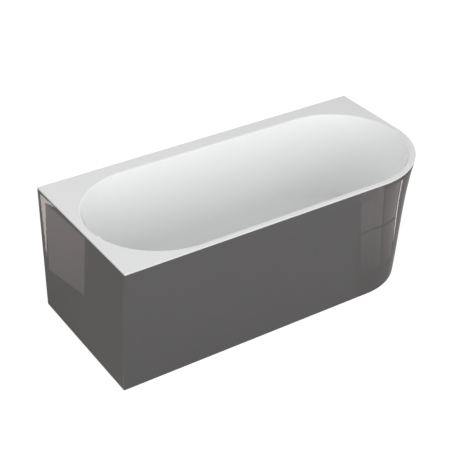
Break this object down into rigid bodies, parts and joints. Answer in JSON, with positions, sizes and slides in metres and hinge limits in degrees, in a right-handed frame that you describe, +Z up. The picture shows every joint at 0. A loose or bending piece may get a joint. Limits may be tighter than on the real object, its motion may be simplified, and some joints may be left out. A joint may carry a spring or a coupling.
{
  "type": "corner bathtub",
  "caption": "Left-hand corner bathtub: white acrylic basin with round ends in a flat deck, graphite apron with one rounded corner, steel cradle on levelling feet, pop-up waste and overflow.",
  "frame": {"origin": "on the floor, under the middle of the bath's box", "axes": "+X along the bath to its rounded end, +Y to the back wall, +Z up"},
  "size_m": [1.6, 0.75, 0.6],
  "materials": {
    "white_acrylic": "gloss",
    "graphite_acrylic": "gloss",
    "glass_fibre": "rough laminate",
    "board": "raw board",
    "timber": "planed",
    "galvanised_steel": "galvanised",
    "zinc_steel": "zinc plated",
    "black_plastic": "moulded",
    "clear_plastic": "moulded",
    "chrome": "polished",
    "rubber": "matt",
    "brass": "turned",
    "drain_plastic": "moulded",
    "cable_sheath": "extruded"
  },
  "bodies": {
    "bath": {"apron": "graphite_acrylic", "apron_clips": "clear_plastic", "apron_toe_brackets": "galvanised_steel", "base_board": "board", "board_screws": "zinc_steel", "bracket_screws": "zinc_steel", "control_cable": "cable_sheath", "corner_block_back_left": "timber", "corner_block_back_right": "timber", "corner_block_front_left": "timber", "cross_member_left": "galvanised_steel", "cross_member_middle": "galvanised_steel", "cross_member_right": "galvanised_steel", "frame_rail_back": "galvanised_steel", "frame_rail_front": "galvanised_steel", "glass_fibre_skin": "glass_fibre", "lock_nuts": "zinc_steel", "outlet_pipe": "drain_plastic", "overflow_body": "drain_plastic", "overflow_gasket": "rubber", "overflow_pipe": "drain_plastic", "overflow_trim": "chrome", "pipe_nut_bottom": "drain_plastic", "pipe_nut_top": "drain_plastic", "post_plate_left": "galvanised_steel", "post_plate_middle": "galvanised_steel", "post_plate_right": "galvanised_steel", "post_screws": "zinc_steel", "rim_batten_back": "timber", "rim_post_left": "galvanised_steel", "rim_post_middle": "galvanised_steel", "rim_post_right": "galvanised_steel", "trap_bend": "drain_plastic", "trap_inlet_nut": "drain_plastic", "trap_outlet_nut": "drain_plastic", "tub_shell": "white_acrylic", "tube_caps": "black_plastic", "waste_body": "drain_plastic", "waste_flange": "chrome", "waste_seal_bottom": "rubber", "waste_seal_top": "rubber"},
    "knob": {"overflow_knob": "chrome", "knob_spindle": "brass"},
    "plug": {"plug_cap": "chrome", "plug_seal": "rubber", "plug_stem": "brass"},
    "foot_front_left": {"foot_stud_front_left": "zinc_steel", "foot_pad_front_left": "black_plastic"},
    "foot_back_left": {"foot_stud_back_left": "zinc_steel", "foot_pad_back_left": "black_plastic"},
    "foot_front_right": {"foot_stud_front_right": "zinc_steel", "foot_pad_front_right": "black_plastic"},
    "foot_back_right": {"foot_stud_back_right": "zinc_steel", "foot_pad_back_right": "black_plastic"},
    "foot_middle": {"foot_stud_middle": "zinc_steel", "foot_pad_middle": "black_plastic"}
  },
  "joints": [
    {"name": "knob_turn", "type": "hinge", "parent": "bath", "child": "knob", "pos_m": [-0.73795, -0.0255, 0.515], "axis": [0.9428, 0, 0.3333], "range_deg": [0, 100]},
    {"name": "plug_lift", "type": "slide", "parent": "bath", "child": "plug", "axis": [0, 0, 1], "range_m": [0, 0.009]},
    {"name": "foot_front_left_screw", "type": "slide", "parent": "bath", "child": "foot_front_left", "axis": [0, 0, -1], "range_m": [0, 0.02]},
    {"name": "foot_back_left_screw", "type": "slide", "parent": "bath", "child": "foot_back_left", "axis": [0, 0, -1], "range_m": [0, 0.02]},
    {"name": "foot_front_right_screw", "type": "slide", "parent": "bath", "child": "foot_front_right", "axis": [0, 0, -1], "range_m": [0, 0.02]},
    {"name": "foot_back_right_screw", "type": "slide", "parent": "bath", "child": "foot_back_right", "axis": [0, 0, -1], "range_m": [0, 0.02]},
    {"name": "foot_middle_screw", "type": "slide", "parent": "bath", "child": "foot_middle", "axis": [0, 0, -1], "range_m": [0, 0.02]}
  ],
  "couplings": [
    {"joint": "plug_lift", "follows": "knob_turn", "m_per_rad": 0.005156}
  ]
}
